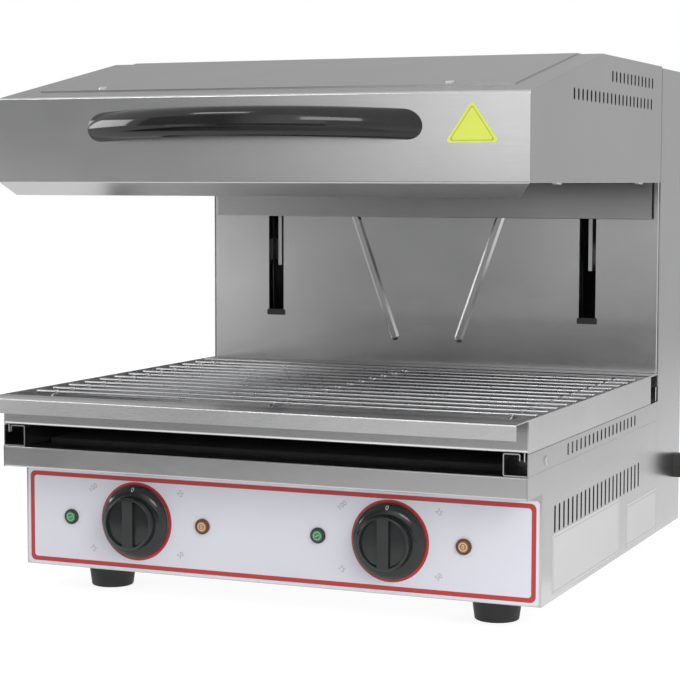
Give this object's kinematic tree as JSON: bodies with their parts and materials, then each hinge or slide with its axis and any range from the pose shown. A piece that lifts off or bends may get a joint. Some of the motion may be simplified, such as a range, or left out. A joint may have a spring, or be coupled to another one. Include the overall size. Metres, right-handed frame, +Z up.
{
  "type": "cheese melter",
  "caption": "Countertop lift-top grill: a heated hood slides up and down a rear column above a pull-out pan with a wire rack, with control knobs and lamps in front.",
  "frame": {"origin": "on the surface the feet stand on, under the middle of the grill's overall outline", "axes": "+X to the grill's right as seen from the front, +Y towards the back column, +Z up"},
  "size_m": [0.5236, 0.576, 0.4978],
  "materials": {
    "stainless": "brushed",
    "facia_sheet": "satin",
    "red_print": "satin",
    "shield_board": "matt",
    "black_rubber": "matt",
    "black_plastic": "glossy",
    "brown_plastic": "glossy",
    "green_lens": "glossy",
    "amber_lens": "glossy",
    "zinc_steel": "satin",
    "ground_steel": "polished",
    "black_paint": "satin",
    "bronze": "satin",
    "reflector_steel": "satin",
    "element_sheath": "matt",
    "pan_steel": "brushed",
    "rack_wire": "polished"
  },
  "bodies": {
    "casing": {"amber_lamp_bodies": "brown_plastic", "amber_lenses": "amber_lens", "base_side_left": "stainless", "base_side_right": "stainless", "base_tray": "stainless", "cable_gland": "black_plastic", "casing_screws": "zinc_steel", "column_back": "stainless", "column_brackets": "zinc_steel", "column_front": "stainless", "column_side_left": "stainless", "column_side_right": "stainless", "column_top": "stainless", "control_panel": "stainless", "deck": "stainless", "facia": "facia_sheet", "facia_print": "red_print", "foot_front_left": "black_rubber", "foot_front_right": "black_rubber", "foot_rear_left": "black_rubber", "foot_rear_right": "black_rubber", "foot_screws": "zinc_steel", "gland_nut": "black_plastic", "green_lamp_bodies": "black_plastic", "green_lenses": "green_lens", "guide_rod_left": "ground_steel", "guide_rod_right": "ground_steel", "heat_shield": "shield_board", "rail_cover_left": "stainless", "rail_cover_right": "stainless", "rail_left": "stainless", "rail_right": "stainless", "regulator_left": "black_plastic", "regulator_right": "black_plastic", "slot_buffers": "black_rubber", "strut_tube_left": "black_paint", "strut_tube_right": "black_paint", "terminal_block": "black_plastic"},
    "hood": {"hood_side_left": "stainless", "hood_side_right": "stainless", "hood_top": "stainless", "hood_front": "stainless", "hood_back": "stainless", "reflector": "reflector_steel", "element_left": "element_sheath", "element_right": "element_sheath", "element_supports": "zinc_steel", "handle": "black_plastic", "handle_screws": "zinc_steel", "hood_screws": "zinc_steel", "carriage_left": "zinc_steel", "carriage_right": "zinc_steel", "guide_bushes": "bronze", "strut_rods": "ground_steel"},
    "knob_left": {"knob_left": "black_plastic", "spindle_left": "zinc_steel"},
    "knob_right": {"knob_right": "black_plastic", "spindle_right": "zinc_steel"},
    "pan": {"pan": "pan_steel"},
    "rack": {"rack": "rack_wire"}
  },
  "joints": [
    {"name": "hood_lift", "type": "slide", "parent": "casing", "child": "hood", "axis": [0, 0, 1], "range_m": [-0.105, 0]},
    {"name": "knob_left_turn", "type": "hinge", "parent": "casing", "child": "knob_left", "pos_m": [-0.1442, -0.22263, 0.073], "axis": [0, 1, 0], "range_deg": [0, 315]},
    {"name": "knob_right_turn", "type": "hinge", "parent": "casing", "child": "knob_right", "pos_m": [0.1038, -0.22263, 0.073], "axis": [0, 1, 0], "range_deg": [0, 315]},
    {"name": "pan_slide", "type": "slide", "parent": "casing", "child": "pan", "axis": [0, -1, 0], "range_m": [0, 0.3]},
    {"name": "rack_lift", "type": "slide", "parent": "pan", "child": "rack", "axis": [0, 0, 1], "range_m": [0, 0.06]}
  ]
}
